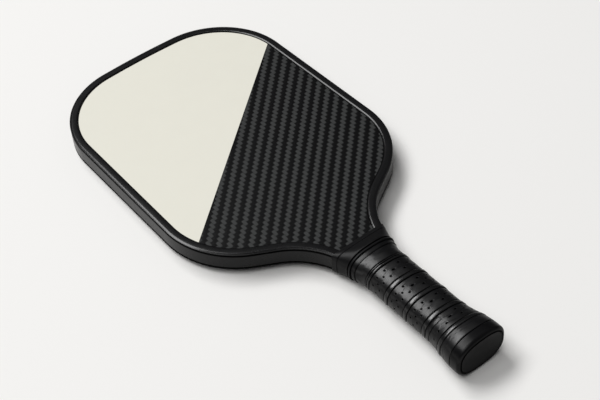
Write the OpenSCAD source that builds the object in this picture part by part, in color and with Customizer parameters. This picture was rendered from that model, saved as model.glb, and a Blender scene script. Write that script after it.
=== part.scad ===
// Pickleball paddle: a honeycomb board with a carbon face on each side, a channel-shaped
// guard pressed over its rim, and a wrapped oval handle built up round the board's tongue.
// X runs across the face, Y from the butt end to the tip, Z out of the front face.
// The origin is the middle of the butt end.

/* [Head outline] */
// Overall length from the butt end to the tip
paddle_l = 408; // [404:0.5:412]
// Distance between the side lines at the head's top corners
top_w = 190; // [184:0.5:194]
// Distance between the side lines at the shoulders
shoulder_w = 197; // [193:0.5:200]
// Fall of the crowned top edge from its middle to its corners
crown_fall = 4; // [2:0.5:6]
// Height at which a side line meets its shoulder line
shoulder_y = 187; // [180:0.5:195]
// Height at which a shoulder line meets the side of the neck
neck_y = 141; // [138:0.5:144]
// Width of the neck
neck_w = 38.4; // [37:0.2:40]
// Radius in the middle of the top edge
crown_r = 650; // [400:10:900]
// Radius of the head's top corners
top_r = 65; // [50:1:72]
// Radius of the shoulders
shoulder_r = 69; // [55:1:75]
// Radius of the hollow between head and neck
neck_r = 59; // [54:1:62]

/* [Board] */
// Thickness of the honeycomb
core_t = 12.4; // [10:0.2:16]
// Thickness of the veil on each side of the honeycomb
veil_t = 0.2; // [0.1:0.05:0.4]
// Thickness of each carbon face
face_t = 0.6; // [0.4:0.1:0.8]
// Thickness of the cream film
film_t = 0.12; // [0.1:0.02:0.2]
// Size of a honeycomb cell across its flats, drawn half as large again as in real core sheet
cell_flats = 12; // [10:0.5:16]
// Thickness of the wall between two cells
cell_wall = 0.6; // [0.4:0.1:1]
// Least rim left round the outermost cells
core_rim = 0.8; // [0.6:0.1:3]
// Slant of the film's lower edge
film_slant = 39.5; // [30:0.5:50]
// Height at which that edge crosses the middle of the face
film_y = 273.3; // [262:0.1:284]
// Width of the tongue inside the handle
tongue_w = 26; // [24:0.5:27]

/* [Edge guard] */
// Width of the lip over each face
lip_w = 6.3; // [5:0.1:8]
// Thickness of the lip
lip_t = 0.95; // [0.8:0.05:1.2]
// Thickness of the wall round the edge
guard_wall = 1.5; // [1.2:0.1:2]
// Thickness of the bonding tape inside the guard
tape_t = 0.3; // [0.2:0.05:0.5]
// Height at which the guard's ends stop, under the collar
guard_end_y = 119; // [118:0.5:121]

/* [Handle] */
// Width of the wrapped grip
grip_w = 35.2; // [34:0.2:37]
// Thickness of the wrapped grip
grip_h = 25.8; // [25:0.2:27]
// Width of the butt
butt_w = 43.4; // [42:0.2:44]
// Thickness of the butt
butt_h = 32.2; // [31:0.2:33]
// Width of the grip where it enters the throat collar
throat_w = 39.8; // [39:0.2:41]
// Thickness of the grip where it enters the throat collar
throat_h = 25; // [24.4:0.2:26]
// Squareness of the handle's oval, 2 for an ellipse
oval_power = 2.6; // [2.2:0.1:3]
// Thickness of the wrap
wrap_t = 1.6; // [1.2:0.1:2]
// Rise of one turn of the wrap
wrap_pitch = 19.5; // [19.4:0.1:20]
// Width of the raised lap between two turns
lap_w = 3.9; // [3:0.1:5]
// Height of the raised lap
lap_h = 0.4; // [0.3:0.05:0.7]
// Height of the butt cap's rim, where the wrap starts
cap_rim_h = 8.7; // [8.6:0.1:9.4]
// Height of the butt cap's skirt, under the wrap
cap_skirt_y = 28; // [26:0.5:30]

/* [Throat collar] */
// Height of the collar's upper edge on the face
collar_top_y = 127.5; // [126:0.5:129]
// Height of the collar's lower edge
collar_low_y = 111.5; // [111.2:0.1:112]
// Thickness of the collar
collar_t = 1; // [0.8:0.1:1.4]

/* [Hidden] */

// Clearance left between bonded pieces
gap = 0.08;
// Heights of the layers above the middle of the board
veil_z = core_t / 2;
face_z = veil_z + veil_t;
film_z = face_z + face_t;
guard_z = film_z + lip_t;
board_inset = guard_wall + tape_t;
// The guard's rounded outer edge, and the bevel and fall of its lip towards the face
guard_r = 1.2;
lip_bevel = 0.6;
lip_fall = 0.2;
// The tongue starts inside the butt cap, and widens to the neck under the collar
tongue_low_y = 4.2;
neck_step_y = 115;
// Corners of the outline's right half, before they are rounded
crown_slope = atan(crown_fall / (top_w / 2));
crown = [0, paddle_l + crown_r * (1 / cos(crown_slope) - 1)];
top_corner = [top_w / 2, crown.y - crown_fall];
shoulder = [shoulder_w / 2, shoulder_y];
neck = [neck_w / 2, neck_y];
neck_foot = [neck_w / 2, 0];
// The handle's ovals have this many sides
sides = 48;
// The butt's flare and the throat's rise
flare_from_y = 6;
flare_to_y = 38;
throat_from_y = 100;
throat_to_y = 111;
// The butt cap
butt_edge_r = 2.4;
disc_t = 1.5;
disc_proud = 0.25;
disc_w = 38;
disc_h = 26;
seam_depth = 0.5;
spigot_w = 30.4;
spigot_h = 21.2;
// Heights of the rings of points on the handle's inner surfaces
skirt_ys = [for (i = [0:5]) cap_rim_h + (cap_skirt_y - cap_rim_h) * i / 5];
flare_ys = [(cap_skirt_y + flare_to_y) / 2, flare_to_y];
throat_ys = [for (i = [0:3]) throat_from_y + (throat_to_y - throat_from_y) * i / 3];
// Each handle shell runs on up the neck as a ramp, from this height over the face to this one
ramp_from_h = 2.6;
ramp_to_h = 0.4;
ramp_over = 2;
// The wrap: its lower edge leaves the cap level and settles to a steady rise
wrap_face_angle = 120;
wrap_lead = 0.65;
wrap_level = 0.75;
wrap_turns = 5 + 5 / 6;
wrap_steps = wrap_turns * sides;
wrap_low_y = cap_rim_h;
wrap_top_y = wrap_edge_y(wrap_turns);
lap_edge = 0.5;
lap_groove = 0.3;
// Shares of the lap's height at its lower and upper edge
lap_lower = 0.8;
lap_upper = 0.6;
// Span below which the lap narrows, and the turns over which it rises and dies away
lap_room = 8;
lap_rise_turns = 1;
lap_fall_turns = [0.55, 0.3];
// The collar's inside at its upper edge, squared to fit over the guard
collar_top_w = 46.8;
collar_top_h = 2 * guard_z + 0.6;
collar_top_power = 14;
// The ring on its lower edge and the thin seam below its upper edge
ring_w = 2.4;
ring_bead = 0.5;
ring_foot = 0.5;
seam_y = 123;
seam_half = 0.4;
seam_share = 0.7;
finish_t = 0.25;
finish_low_y = 107.5;
finish_top_y = 115.5;
// The staples
staple_w = 10;
staple_leg = 4.6;
staple_wire = 0.7;
staple_y = 20;
staple_open = 1;

function unit(v) = v / norm(v);
function share(v, from, to) = max(0, min(1, (v - from) / (to - from)));
function ease(v, from, to) = (1 - cos(180 * share(v, from, to))) / 2;
function turned(from, to) = (to - from + 540) % 360 - 180;

// Rounding of corner b between a and c: [centre, angle at its start, angle turned]
function rounding(a, b, c, r) =
    let (u = unit(a - b), v = unit(c - b), half = acos(u * v) / 2)
    let (centre = b + unit(u + v) * r / sin(half), reach = r / tan(half))
    let (p = b + u * reach - centre, q = b + v * reach - centre)
    let (from = atan2(p.y, p.x))
    [centre, from, turned(from, atan2(q.y, q.x))];

// Points of an arc, each with the direction that points into the paddle
function arc(centre, r, from, turn, steps, inward) = [
    for (i = [0:steps])
        let (a = from + turn * i / steps, out = [cos(a), sin(a)])
        [centre + r * out, inward * out]
];
function corner_arc(a, b, c, r, steps) =
    let (k = rounding(a, b, c, r))
    arc(k[0], r, k[1], k[2], steps, -1);

// The hollow at the neck, from the height given up to the shoulder line
function neck_arc(from_y, steps) =
    let (k = rounding(neck_foot, neck, shoulder, neck_r))
    let (rise = asin((from_y - k[0].y) / neck_r))
    arc(k[0], neck_r, 180 - rise, k[2] + rise, steps, 1);

// Outline of the head from the right of the neck over the tip to the left of the neck
function right_side(from_y) = concat(
    neck_arc(from_y, 8),
    corner_arc(neck, shoulder, top_corner, shoulder_r, 12),
    corner_arc(shoulder, top_corner, crown, top_r, 15),
    corner_arc(top_corner, crown, [-top_corner.x, top_corner.y], crown_r, 4)
);
function mirrored(path) = [
    for (i = [len(path) - 1:-1:0])
        let (q = path[i])
        if (q[0].x > 0.01) [[-q[0].x, q[0].y], [-q[1].x, q[1].y]]
];
function right_half(from_y) = [for (q = right_side(from_y)) if (q[0].x > -0.01) q];
function head_path(from_y) = concat(right_half(from_y), mirrored(right_half(from_y)));
function inset(path, w) = [for (q = path) q[0] + w * q[1]];

// Outline of the board: the head and the handle's tongue
function board_points() = concat(
    [[tongue_w / 2, tongue_low_y], [tongue_w / 2, neck_step_y]],
    inset(head_path(neck_step_y), board_inset),
    [[-tongue_w / 2, neck_step_y], [-tongue_w / 2, tongue_low_y]]
);

// True where p is inside the outline, by counting the edges to its right
function crossed(p, a, b) =
    (a.y > p.y) != (b.y > p.y) && p.x < a.x + (b.x - a.x) * (p.y - a.y) / (b.y - a.y);
function inside(p, edge) =
    let (n = len(edge))
    len([for (i = [0:n - 1]) if (crossed(p, edge[i], edge[(i + 1) % n])) i]) % 2 == 1;
function segment_distance(p, a, b) =
    let (t = max(0, min(1, (p - a) * (b - a) / ((b - a) * (b - a)))))
    norm(p - a - t * (b - a));
function edge_distance(p, edge) =
    let (n = len(edge))
    min([for (i = [0:n - 1]) segment_distance(p, edge[i], edge[(i + 1) % n])]);

// Half width and half thickness of the handle, over the wrap
function swell(y, grip, butt, throat) =
    grip + (butt - grip) * (1 - ease(y, flare_from_y, flare_to_y))
    + (throat - grip) * ease(y, throat_from_y, throat_to_y);
function handle_a(y) = swell(y, grip_w, butt_w, throat_w) / 2;
function handle_b(y) = swell(y, grip_h, butt_h, throat_h) / 2;

// A point of an oval, and a ring of such points across the handle at height y
function rounded(v, power) = sign(v) * pow(abs(v), 2 / power);
function oval_point(a, b, angle, power = oval_power) =
    [a * rounded(cos(angle), power), b * rounded(sin(angle), power)];
function oval_height(x, a, b) = b * pow(1 - pow(x / a, oval_power), 1 / oval_power);
function oval(a, b, power = oval_power) =
    [for (i = [0:sides - 1]) oval_point(a, b, wrap_face_angle + 360 * i / sides, power)];
function ring(a, b, y, power = oval_power) = [for (p = oval(a, b, power)) [p.x, y, p.y]];
function handle_ring(y, grow) = ring(handle_a(y) + grow, handle_b(y) + grow, y);

function flat_list(lists) = [for (l = lists) each l];
function reversed(list) = [for (i = [len(list) - 1:-1:0]) list[i]];
function band_faces(from, to, n) = [
    for (j = [0:n - 1])
        let (k = (j + 1) % n)
        each [[from + j, from + k, to + k], [from + j, to + k, to + j]]
];

// Solid through rings stacked along +Y, closed by its first and last ring
module stack(rings) {
    n = len(rings[0]);
    last = (len(rings) - 1) * n;
    polyhedron(flat_list(rings), concat(
        flat_list([for (i = [0:len(rings) - 2]) band_faces(i * n, (i + 1) * n, n)]),
        [reversed([for (j = [0:n - 1]) j]), [for (j = [0:n - 1]) last + j]]
    ));
}

// Hollow solid through rings that run up its outside and down its inside
module sleeve(rings) {
    n = len(rings[0]);
    m = len(rings);
    polyhedron(flat_list(rings), flat_list([
        for (i = [0:m - 1]) band_faces(i * n, (i + 1) % m * n, n)
    ]));
}

module board_layer(z, t) {
    translate([0, 0, z]) linear_extrude(t) polygon(board_points());
}

module honeycomb_core() {
    pitch = cell_flats + cell_wall;
    row = pitch * cos(30);
    cell_r = cell_flats / 2 / cos(30);
    edge = board_points();
    cols = ceil(shoulder_w / 2 / pitch);
    color("#E9E7DC") difference() {
        board_layer(-core_t / 2, core_t);
        for (j = [0:floor(paddle_l / row)], i = [-cols:cols]) {
            p = [(i + (j % 2) / 2) * pitch, j * row];
            if (inside(p, edge) && edge_distance(p, edge) > cell_r + core_rim)
                translate([p.x, p.y, -core_t]) rotate(30) cylinder(r = cell_r, h = 2 * core_t, $fn = 6);
        }
    }
}

module core_veil(z) {
    color("#F3F1EA") board_layer(z, veil_t);
}

module face_sheet(z) {
    color("#2B2B2D") board_layer(z, face_t);
}

// Film over the part of the face above the slanted line, up to the guard's lip
module colour_film() {
    color("#E4E1D4") intersection() {
        translate([0, 0, film_z]) linear_extrude(film_t)
            polygon(inset(head_path(guard_end_y), lip_w + gap));
        translate([0, film_y, 0]) rotate(film_slant) translate([-paddle_l, 0, 0])
            cube([2 * paddle_l, paddle_l, 2 * film_z]);
    }
}

module guard_tape() {
    path = head_path(guard_end_y);
    outer = inset(path, guard_wall);
    inner = inset(path, board_inset);
    color("#C9C3B0") translate([0, 0, -film_z]) linear_extrude(2 * film_z)
        polygon(concat(outer, reversed(inner)));
}

// Channel section carried round the head: a wall with a lip at each face
module edge_guard() {
    upper = [
        [lip_w, film_z], [lip_w, film_z + lip_t / 3], [lip_w - lip_bevel, guard_z - lip_fall],
        [guard_r, guard_z], [0.3 * guard_r, guard_z - 0.3 * guard_r], [0, guard_z - guard_r]
    ];
    lower = [for (p = reversed(upper)) [p.x, -p.y]];
    section = concat(upper, lower, [[guard_wall, -film_z], [guard_wall, film_z]]);
    n = len(section);
    path = reversed(head_path(guard_end_y));
    last = (len(path) - 1) * n;
    // An end of the channel is three convex pieces: lip, wall and lip
    end = [[0, 1, 2, 3, 13], [3, 4, 5, 6, 7, 8, 12, 13], [8, 9, 10, 11, 12]];
    color("#1D1D1F") polyhedron(
        [for (q = path, s = section) [q[0].x + s.x * q[1].x, q[0].y + s.x * q[1].y, s.y]],
        concat(
            flat_list([for (i = [0:len(path) - 2]) band_faces(i * n, (i + 1) * n, n)]),
            [for (f = end) reversed(f)],
            [for (f = end) [for (j = f) last + j]]
        )
    );
}

// Two flat-wire staples, one through each broad side of the cap's skirt. A cut for them
// is wider by grow all round and open outwards.
module staples(grow = 0, open = 0) {
    skirt = wrap_t + gap;
    seat = oval_height(staple_w / 2, handle_a(staple_y) - skirt, handle_b(staple_y) - skirt);
    crown = [staple_w + 2 * grow, staple_wire + 2 * grow, staple_wire + open];
    leg = [staple_wire + 2 * grow, staple_wire + 2 * grow, staple_leg + grow];
    for (side = [0, 180]) rotate([0, side, 0]) translate([0, staple_y, seat - gap]) {
        translate([-crown.x / 2, -crown.y / 2, -staple_wire]) cube(crown);
        for (x = [-1, 1] * (staple_w - staple_wire) / 2)
            translate([x - leg.x / 2, -leg.y / 2, -leg.z]) cube(leg);
    }
}

module butt_cap_staples() {
    color("#B9BBBD") staples();
}

// Half of the handle's filling: oval outside, slotted for the tongue, stepped for the cap
module handle_shell() {
    low = [tongue_low_y, cap_skirt_y + gap];
    ys = concat([cap_skirt_y + gap], flare_ys, throat_ys, [neck_step_y - gap]);
    ramp_ys = [neck_step_y - ramp_over, collar_top_y - ramp_over];
    ramp = [
        [ramp_ys[0], film_z - 1], [ramp_ys[1], film_z - 1],
        [ramp_ys[1], film_z + ramp_to_h], [ramp_ys[0], film_z + ramp_from_h]
    ];
    color("#4A4A4C") difference() {
        union() {
            stack(concat(
                [for (y = low) ring(spigot_w / 2 - gap, spigot_h / 2 - gap, y)],
                [for (y = ys) handle_ring(y, -wrap_t - gap)]
            ));
            translate([-tongue_w / 2, 0, 0]) rotate([90, 0, 90])
                linear_extrude(tongue_w) polygon(ramp);
        }
        translate([-paddle_l, -1, -paddle_l]) cube([2 * paddle_l, paddle_l, paddle_l + gap / 2]);
        translate([-tongue_w / 2 - gap, -1, -1])
            cube([tongue_w + 2 * gap, paddle_l, film_z + gap + 1]);
        staples(gap, staple_open);
    }
}

// Cup over the handle's end: rounded rim, seam for the wrap, flared skirt and a recess for the disc
module butt_cap() {
    rim_y = disc_proud;
    color("#161617") difference() {
        stack(concat(
            [for (y = [disc_t, rim_y]) ring(disc_w / 2 + gap, disc_h / 2 + gap, y)],
            [for (q = [0:30:90]) let (y = rim_y + butt_edge_r * (1 - cos(q)))
                handle_ring(y, -butt_edge_r * (1 - sin(q)))],
            [for (y = [flare_from_y, cap_rim_h - seam_depth]) handle_ring(y, 0)],
            [for (grow = [-seam_depth, -wrap_t - gap]) handle_ring(cap_rim_h, grow)],
            [for (i = [1:len(skirt_ys) - 1]) handle_ring(skirt_ys[i], -wrap_t - gap)],
            [for (y = [cap_skirt_y, tongue_low_y - gap]) ring(spigot_w / 2, spigot_h / 2, y)]
        ));
        staples(gap, staple_open);
    }
}

module butt_end_disc() {
    color("#121213") translate([0, disc_t, 0]) rotate([90, 0, 0])
        linear_extrude(disc_t) polygon(oval(disc_w / 2, disc_h / 2));
}

// Height of the wrap's lower edge after a number of turns: level at first, then a steady rise
// that is gentler across the front of the handle than across its back
function wrap_edge_y(turns) =
    let (t = turns - wrap_level * sin(360 * turns) / 360 * 180 / PI)
    wrap_low_y + wrap_pitch * (t - wrap_lead * (1 - exp(-t / wrap_lead)));
// Rise left for the strip at that turn, before the next turn or the wrap's top end
function wrap_span(turns) = min(wrap_edge_y(turns + 1), wrap_top_y) - wrap_edge_y(turns);

// Rows across one turn of the strip: [distance from its lower edge, height over the oval]
function lap_rows(turns) =
    let (span = wrap_span(turns), tight = min(1, span / lap_room))
    let (fall = [for (t = lap_fall_turns) wrap_turns - t])
    let (fade = ease(turns, 0, lap_rise_turns) * (1 - ease(turns, fall[0], fall[1])))
    let (lap = lap_w * tight, edge = lap_edge * tight, rise = lap_h * fade, dip = -lap_groove * fade)
    [
        [0, dip], [edge, lap_lower * rise], [lap / 2, rise], [lap - edge, lap_upper * rise], [lap, dip],
        [lap + edge, 0], [(lap + span) / 2, 0], [span - edge, 0]
    ];
function wrap_point(turns, row) =
    let (y = wrap_edge_y(turns) + row[0], angle = wrap_face_angle + 360 * turns)
    let (p = oval_point(handle_a(y) + row[1], handle_b(y) + row[1], angle))
    [p.x, y, p.y];

// One strip wound up the handle, each turn lapping the one below
module grip_wrap() {
    rows = len(lap_rows(0));
    strip = [
        for (i = [0:wrap_steps - 1])
            let (turns = i / sides)
            for (row = lap_rows(turns)) wrap_point(turns, row)
    ];
    inner_ys = concat(skirt_ys, flare_ys, throat_ys, [wrap_top_y]);
    rim_turns = [for (i = [0:sides - 1]) wrap_turns + i / sides];
    lower = len(strip);
    upper = lower + sides;
    inner = upper + sides;
    inner_top = inner + (len(inner_ys) - 1) * sides;
    points = concat(
        strip,
        handle_ring(wrap_low_y, 0),
        [for (t = rim_turns) wrap_point(t, [wrap_top_y - wrap_edge_y(t), 0])],
        flat_list([for (y = inner_ys) handle_ring(y, -wrap_t)])
    );
    // The strip's lower edge starts on the lower rim, and its upper edge ends on the upper rim
    function at(i, m) =
        m < rows ? i * rows + m
        : i + sides < wrap_steps ? (i + sides) * rows
        : upper + i + sides - wrap_steps;
    function low(i) = i % sides == 0 ? 0 : lower + i;
    function rim(j) = upper + (j - wrap_steps % sides + sides) % sides;
    function real(faces) = [for (f = faces) if (f[0] != f[1] && f[1] != f[2] && f[2] != f[0]) f];
    skin = [
        for (i = [0:wrap_steps - 1], m = [0:rows - 1])
            let (end = i == wrap_steps - 1)
            let (a = at(i, m), b = at(i, m + 1))
            let (c = end ? upper : at(i + 1, m + 1), d = end ? upper : at(i + 1, m))
            each [[a, c, b], [a, d, c]]
    ];
    foot = [
        for (i = [0:sides - 2])
            each [[low(i), at(i + 1, 0), at(i, 0)], [low(i), low(i + 1), at(i + 1, 0)]]
    ];
    foot_end = concat(
        [[low(sides - 1), 0, at(sides - 1, 0)]],
        [for (m = [0:rows - 1]) [at(sides - 1, 0), at(0, m), at(0, m + 1)]]
    );
    bore = flat_list([
        for (i = [0:len(inner_ys) - 2]) band_faces(inner + (i + 1) * sides, inner + i * sides, sides)
    ]);
    low_end = [
        for (j = [0:sides - 1])
            let (k = (j + 1) % sides)
            each [[inner + j, low(k), low(j)], [inner + j, inner + k, low(k)]]
    ];
    top_end = [
        for (j = [0:sides - 1])
            let (k = (j + 1) % sides)
            each [[rim(j), inner_top + k, inner_top + j], [rim(j), rim(k), inner_top + k]]
    ];
    color("#1B1B1C") polyhedron(points, real(concat(skin, foot, foot_end, bore, low_end, top_end)));
}

module finishing_tape() {
    ys = [
        finish_low_y, (2 * finish_low_y + throat_to_y) / 3, (finish_low_y + 2 * throat_to_y) / 3,
        throat_to_y, finish_top_y
    ];
    color("#202021") sleeve(concat(
        [for (y = ys) handle_ring(y, gap + finish_t)],
        [for (y = reversed(ys)) handle_ring(y, gap)]
    ));
}

// The collar's section changes from the handle's oval to the squared neck
function collar_ring(y, grow) =
    let (f = share(y, finish_top_y, collar_top_y))
    let (a = handle_a(y) + finish_t + 2 * gap, b = handle_b(y) + finish_t + 2 * gap)
    let (bend = 2 / oval_power + f * (2 / collar_top_power - 2 / oval_power))
    ring(a + f * (collar_top_w / 2 - a) + grow, b + f * (collar_top_h / 2 - b) + grow, y, 2 / bend);

// Soft sleeve over the throat, with a rolled ring on its lower edge
module throat_collar() {
    foot = collar_low_y + ring_w / 2;
    bead = [
        for (q = [0:30:180])
            [foot - ring_w / 2 * cos(q), ring_foot * collar_t + ring_bead * sin(q)]
    ];
    plain_ys = [for (i = [0:3]) finish_top_y + (seam_y - seam_half - finish_top_y) * i / 3];
    soft = 0.4 * collar_t;
    upper_ys = [seam_y + seam_half, collar_top_y - soft];
    inner_ys = concat([collar_low_y], plain_ys, [seam_y, collar_top_y]);
    color("#181819") sleeve(concat(
        [for (q = bead) collar_ring(q[0], q[1])],
        [for (y = plain_ys) collar_ring(y, collar_t)],
        [collar_ring(seam_y, seam_share * collar_t)],
        [for (y = upper_ys) collar_ring(y, collar_t)],
        [collar_ring(collar_top_y, collar_t - soft)],
        [for (y = reversed(inner_ys)) collar_ring(y, 0)]
    ));
}

honeycomb_core();
core_veil(veil_z);  // front_core_veil
core_veil(-face_z);  // back_core_veil
face_sheet(face_z);  // front_face_sheet
face_sheet(-film_z);  // back_face_sheet
colour_film();  // front_colour_film
rotate([0, 180, 0]) colour_film();  // back_colour_film
guard_tape();
edge_guard();
handle_shell();  // front_handle_shell
rotate([0, 180, 0]) handle_shell();  // back_handle_shell
butt_cap();
butt_cap_staples();
butt_end_disc();
grip_wrap();
finishing_tape();
throat_collar();
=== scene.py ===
"""Looks of a pickleball paddle, laid out as an add-on and run as a script.

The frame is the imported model: +X across the face, +Y from the butt end to the tip, +Z out of
the front face, in metres. Flat layers of the board keep their solids and get a finish here.
The guard, the wrapped grip, the throat and the butt are surfaces worked out with numpy.
"""

import math

import bmesh
import bpy
import numpy as np
from mathutils import Matrix, Vector


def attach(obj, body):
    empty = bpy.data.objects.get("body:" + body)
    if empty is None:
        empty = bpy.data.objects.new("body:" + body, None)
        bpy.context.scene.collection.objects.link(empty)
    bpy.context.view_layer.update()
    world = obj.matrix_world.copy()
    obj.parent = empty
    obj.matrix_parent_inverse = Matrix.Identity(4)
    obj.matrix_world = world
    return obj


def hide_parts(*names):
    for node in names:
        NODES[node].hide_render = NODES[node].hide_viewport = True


bl_info = {
    "name": "Pickleball Paddle",
    "version": (1, 0, 0),
    "blender": (4, 5, 0),
    "location": "View3D > Sidebar > Paddle",
    "description": "Builds the looks of a pickleball paddle on its packed solids",
    "category": "Object",
}

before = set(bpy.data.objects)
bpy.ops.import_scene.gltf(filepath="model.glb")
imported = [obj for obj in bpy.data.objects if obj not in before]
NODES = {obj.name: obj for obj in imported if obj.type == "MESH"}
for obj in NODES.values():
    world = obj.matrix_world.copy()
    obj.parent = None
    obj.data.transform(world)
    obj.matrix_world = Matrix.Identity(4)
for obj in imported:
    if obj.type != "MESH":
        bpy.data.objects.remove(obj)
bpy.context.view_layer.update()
MM = 0.001
TAU = 2 * math.pi


def length(name, millimetres, description):
    """A length property, written in millimetres and kept in metres."""
    return bpy.props.FloatProperty(
        name=name,
        description=description,
        default=millimetres * MM,
        unit="LENGTH",
        precision=5,
    )


def angle(name, degrees, description):
    """An angle property, written in degrees and kept in radians."""
    return bpy.props.FloatProperty(
        name=name,
        description=description,
        default=math.radians(degrees),
        unit="ROTATION",
        subtype="ANGLE",
    )


def linear(code):
    """sRGB hex colour as linear red, green and blue."""
    part = np.array([int(code[i : i + 2], 16) for i in (1, 3, 5)]) / 255
    low = part / 12.92
    high = ((part + 0.055) / 1.055) ** 2.4
    return tuple(float(c) for c in np.where(part <= 0.04045, low, high))


def colour(name, code, description):
    """A colour property, written as an sRGB hex value and kept linear."""
    return bpy.props.FloatVectorProperty(
        name=name,
        description=description,
        default=linear(code),
        subtype="COLOR",
        size=3,
        min=0,
        max=1,
    )


class PaddleHead(bpy.types.PropertyGroup):
    """Sizes of the head's outline and of the guard round it."""

    paddle_length: length("Length", 408, "From the butt end to the tip")
    top_width: length("Top width", 190, "Between the side lines at the top corners")
    shoulder_width: length("Shoulder width", 197, "Between the side lines at the shoulders")
    crown_fall: length("Crown fall", 4, "Fall of the top edge from its middle to its corners")
    shoulder_height: length("Shoulder height", 187, "Where a side line meets its shoulder line")
    neck_height: length("Neck height", 141, "Where a shoulder line meets the side of the neck")
    neck_width: length("Neck width", 38.4, "Width of the neck")
    crown_radius: length("Crown radius", 650, "Radius in the middle of the top edge")
    top_radius: length("Top radius", 65, "Radius of the top corners")
    shoulder_radius: length("Shoulder radius", 69, "Radius of the shoulders")
    neck_radius: length("Neck radius", 59, "Radius of the hollow between head and neck")
    face_height: length("Face height", 7, "Front of the carbon face above the board's middle")
    guard_height: length("Guard height", 7.95, "Top of the guard's lip above the board's middle")
    lip_width: length("Lip width", 7, "Width of the guard's lip over the face")
    guard_wall: length("Guard wall", 1.5, "Thickness of the guard's wall")
    guard_end: length("Guard end", 119, "Height at which the guard stops, under the collar")
    bevel_width: length("Bevel width", 1.1, "Width of the bevel on the guard's outer edges")
    bevel_tilt: angle("Bevel tilt", 18, "Fall of the bevel towards the wall")
    edge_groove: length("Edge groove", 0.4, "Depth of the line below the bevel")


class PaddleHandle(bpy.types.PropertyGroup):
    """Sizes of the handle, its wrap, collar and butt."""

    grip_width: length("Grip width", 35.2, "Width over the wrap")
    grip_depth: length("Grip depth", 25.8, "Thickness over the wrap")
    butt_width: length("Butt width", 43.4, "Width of the butt")
    butt_depth: length("Butt depth", 32.2, "Thickness of the butt")
    throat_width: length("Throat width", 39.8, "Width of the grip inside the collar")
    throat_depth: length("Throat depth", 25, "Thickness of the grip inside the collar")
    flare_from: length("Flare from", 6, "Height at which the butt starts to taper")
    flare_to: length("Flare to", 38, "Height at which the butt's taper ends")
    throat_from: length("Throat from", 100, "Height at which the grip starts to widen")
    throat_to: length("Throat to", 111, "Height at which the grip has widened")
    wrap_thickness: length("Wrap thickness", 1.6, "Thickness of the wrap")
    wrap_pitch: length("Wrap pitch", 19.5, "Rise of one turn of the wrap")
    wrap_low: length("Wrap start", 8.7, "Height at which the wrap starts")
    lap_width: length("Lap width", 3.9, "Width of the raised lap between two turns")
    lap_height: length("Lap height", 0.4, "Height of the raised lap")
    lap_groove: length("Lap groove", 0.55, "Depth of the groove on each side of a lap")
    pore_radius: length("Pore radius", 0.7, "Radius of a perforation")
    pore_depth: length("Pore depth", 0.7, "Depth of a perforation")
    collar_top: length("Collar top", 127.5, "Height of the collar's upper edge")
    collar_low: length("Collar foot", 111.5, "Height of the collar's lower edge")
    collar_top_width: length("Collar top width", 46.8, "Inside width at the upper edge")
    collar_top_depth: length("Collar top depth", 16.5, "Inside depth at the upper edge")
    collar_wall: length("Collar wall", 1, "Thickness of the collar")
    tape_low: length("Tape foot", 107.5, "Height of the finishing tape's lower edge")
    tape_top: length("Tape top", 115.5, "Height of the finishing tape's upper edge")
    disc_width: length("Disc width", 38, "Width of the disc in the butt end")
    disc_depth: length("Disc depth", 26, "Thickness of the disc in the butt end")


class PaddleFinish(bpy.types.PropertyGroup):
    """Colours of the paddle's materials."""

    # The two carbon colours are painted light and shade on one cloth: tows along the face pale, tows
    # across it nearly black
    carbon_weft: colour("Carbon weft", "#060607", "Tows across the face, lit along their length")
    carbon_warp: colour("Carbon warp", "#393A3A", "Tows along the face, lit from the side")
    cream: colour("Cream film", "#E4E2D6", "Printed film on the face")
    guard: colour("Guard", "#0F0F10", "Extruded guard round the rim")
    grip: colour("Grip", "#0F0F10", "Cushioned wrap")
    collar: colour("Collar", "#0F0F10", "Rubber collar")
    cap: colour("Butt cap", "#0D0D0E", "Moulded butt cap and disc")


class PaddleStage(bpy.types.PropertyGroup):
    """The camera at the photograph's angle, and the floor."""

    azimuth: angle("Azimuth", -35.266, "Turn of the camera round the paddle")
    elevation: angle("Elevation", 45.239, "Height of the camera above the face")
    roll: angle("Roll", -4.96, "Turn of the camera about its own axis")
    distance: length("Distance", 1040.97, "From the camera to its target")
    target_x: length("Target X", -0.901, "Point the camera looks at, across the face")
    target_y: length("Target Y", 192.48, "Point the camera looks at, along the paddle")
    lens: bpy.props.FloatProperty(
        name="Lens", description="Focal length of the camera", default=84.101, unit="CAMERA"
    )
    floor: colour("Floor", "#F3F2F0", "Pale floor under the paddle")


def size(group):
    """One of the paddle's property groups."""
    return getattr(bpy.context.scene, group)


# Shapes


def ease(value, start, end):
    """Half a cosine wave from 0 at start to 1 at end."""
    return (1 - np.cos(math.pi * np.clip((value - start) / (end - start), 0, 1))) / 2


def unit(v):
    return v / np.linalg.norm(v)


def corner_arc(before, at, after, radius, count, from_y=None):
    """Arc that rounds a corner: its centre lies on the corner's bisector, radius / sin(half the
    corner) away, and it runs from one tangent point to the other, or from the height from_y.
    Gives the points and their directions away from the centre."""
    u, v = unit(before - at), unit(after - at)
    half = math.acos(float(u @ v)) / 2
    centre = at + unit(u + v) * radius / math.sin(half)
    reach = radius / math.tan(half)
    start, end = at + u * reach - centre, at + v * reach - centre
    first = math.atan2(start[1], start[0])
    turn = (math.atan2(end[1], end[0]) - first + math.pi) % TAU - math.pi
    if from_y is not None:
        rise = math.asin((from_y - centre[1]) / radius)
        first, turn = math.pi - rise, turn + rise
    a = first + turn * np.linspace(0, 1, count)
    out = np.stack([np.cos(a), np.sin(a)], axis=1)
    return centre + radius * out, out


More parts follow.
